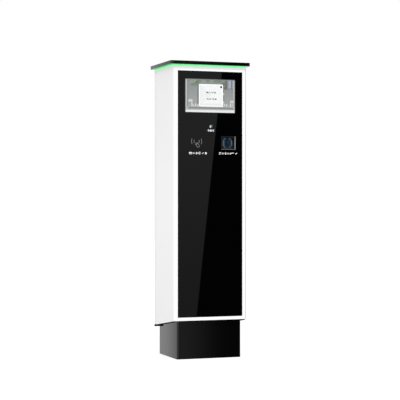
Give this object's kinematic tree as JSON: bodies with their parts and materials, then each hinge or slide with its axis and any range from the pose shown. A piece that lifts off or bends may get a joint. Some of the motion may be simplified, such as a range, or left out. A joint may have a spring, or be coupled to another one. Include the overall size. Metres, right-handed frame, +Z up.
{
  "type": "parking pay station",
  "caption": "Slim free-standing payment post: black glass front with display, help button, card-tap field and scanner window, lit band and cap above, dark plinth below.",
  "frame": {"origin": "floor level, under the middle of the cap and body", "axes": "+Z up, -Y out of the glass front, +X towards the scanner window and the door hinges"},
  "size_m": [0.346, 0.2808, 1.213],
  "materials": {
    "white_coat": "fine satin powder coat",
    "black_coat": "satin black powder coat",
    "black_glass": "toughened glass printed black on its back",
    "clear_glass": "clear polished glass",
    "display": "lit colour display",
    "light_green": "translucent diffuser lit green",
    "button_lens": "translucent lens lit white",
    "zinc_steel": "bright zinc plate",
    "bolt_steel": "plated fasteners",
    "lock_chrome": "polished plate",
    "cam_steel": "plated steel",
    "hinge_white": "powder coat over welded steel",
    "seal_rubber": "black sponge rubber",
    "black_plastic": "fine moulded texture",
    "bezel_plastic": "satin moulded frame",
    "dark_metal": "dark anodised ring",
    "lens_glass": "coated lens",
    "lamp_plastic": "clear lamp domes",
    "circuit_green": "solder-masked circuit board",
    "speaker_metal": "black basket and magnet",
    "cone_paper": "coated paper cone",
    "supply_metal": "bare folded case",
    "controller_metal": "black anodised fins",
    "breaker_plastic": "light grey moulding",
    "toggle_plastic": "blue toggle",
    "terminal_plastic": "grey moulded blocks",
    "cable_sheath": "black cable sheath",
    "light_metal": "bare extrusion",
    "led_strip": "white strip with lamps"
  },
  "bodies": {
    "cabinet": {"casing_shell": "white_coat", "roof_plate": "white_coat", "plinth_shell": "black_coat", "floor_plate": "black_coat", "top_cap": "black_coat", "plinth_base_plate": "black_coat", "plinth_top_frame": "black_coat", "front_glass": "black_glass", "touch_glass": "clear_glass", "scanner_window": "clear_glass", "lcd_panel": "display", "light_diffuser": "light_green", "glass_ledge_frame": "zinc_steel", "front_carrier_plate": "zinc_steel", "equipment_rails": "zinc_steel", "equipment_plate": "zinc_steel", "din_rail": "zinc_steel", "gland_plate": "zinc_steel", "cabinet_bolts": "bolt_steel", "cap_bolts": "bolt_steel", "carrier_standoffs": "bolt_steel", "hinge_pins": "bolt_steel", "hinge_frame_leaves": "hinge_white", "glass_seal": "seal_rubber", "scanner_body": "black_plastic", "card_reader_case": "black_plastic", "help_switch": "black_plastic", "help_button_nut": "black_plastic", "cable_glands": "black_plastic", "scanner_bezel": "bezel_plastic", "help_button_body": "dark_metal", "microphone": "dark_metal", "scanner_lens": "lens_glass", "scanner_lamps": "lamp_plastic", "display_board": "circuit_green", "card_reader_board": "circuit_green", "speaker_frame": "speaker_metal", "speaker_cone": "cone_paper", "power_supply": "supply_metal", "controller": "controller_metal", "circuit_breaker": "breaker_plastic", "terminal_blocks": "terminal_plastic", "wiring_loom": "cable_sheath", "light_carrier": "light_metal", "led_strips": "led_strip"},
    "help_button": {"help_button_cap": "button_lens"},
    "breaker_toggle": {"breaker_toggle": "toggle_plastic"},
    "rear_door": {"door_panel": "white_coat", "door_stiffener": "zinc_steel", "door_seal": "seal_rubber", "hinge_door_leaves": "hinge_white", "lock_barrels": "lock_chrome", "fan_frame": "black_plastic", "fan_guard": "bolt_steel", "fan_screws": "bolt_steel"},
    "upper_lock": {"upper_lock_plug": "lock_chrome", "upper_lock_cam": "cam_steel"},
    "lower_lock": {"lower_lock_plug": "lock_chrome", "lower_lock_cam": "cam_steel"},
    "fan_rotor": {"fan_rotor": "black_plastic"}
  },
  "joints": [
    {"name": "help_press", "type": "slide", "parent": "cabinet", "child": "help_button", "axis": [0, 1, 0], "range_m": [0, 0.0018], "stiffness_N_per_m": 400, "springref_m": -0.001},
    {"name": "breaker_switch", "type": "hinge", "parent": "cabinet", "child": "breaker_toggle", "pos_m": [-0.072, 0.013, 0.432], "axis": [-1, 0, 0], "range_deg": [0, 80]},
    {"name": "door_swing", "type": "hinge", "parent": "cabinet", "child": "rear_door", "pos_m": [0.1625, 0.107, 0.655], "axis": [0, 0, -1], "range_deg": [0, 110]},
    {"name": "upper_lock_turn", "type": "hinge", "parent": "rear_door", "child": "upper_lock", "pos_m": [-0.125, 0.115, 1], "axis": [0, -1, 0], "range_deg": [0, 90]},
    {"name": "lower_lock_turn", "type": "hinge", "parent": "rear_door", "child": "lower_lock", "pos_m": [-0.125, 0.115, 0.3], "axis": [0, -1, 0], "range_deg": [0, 90]},
    {"name": "fan_spin", "type": "hinge", "parent": "rear_door", "child": "fan_rotor", "pos_m": [0, 0.115, 1.085], "axis": [0, 1, 0], "continuous": true}
  ]
}
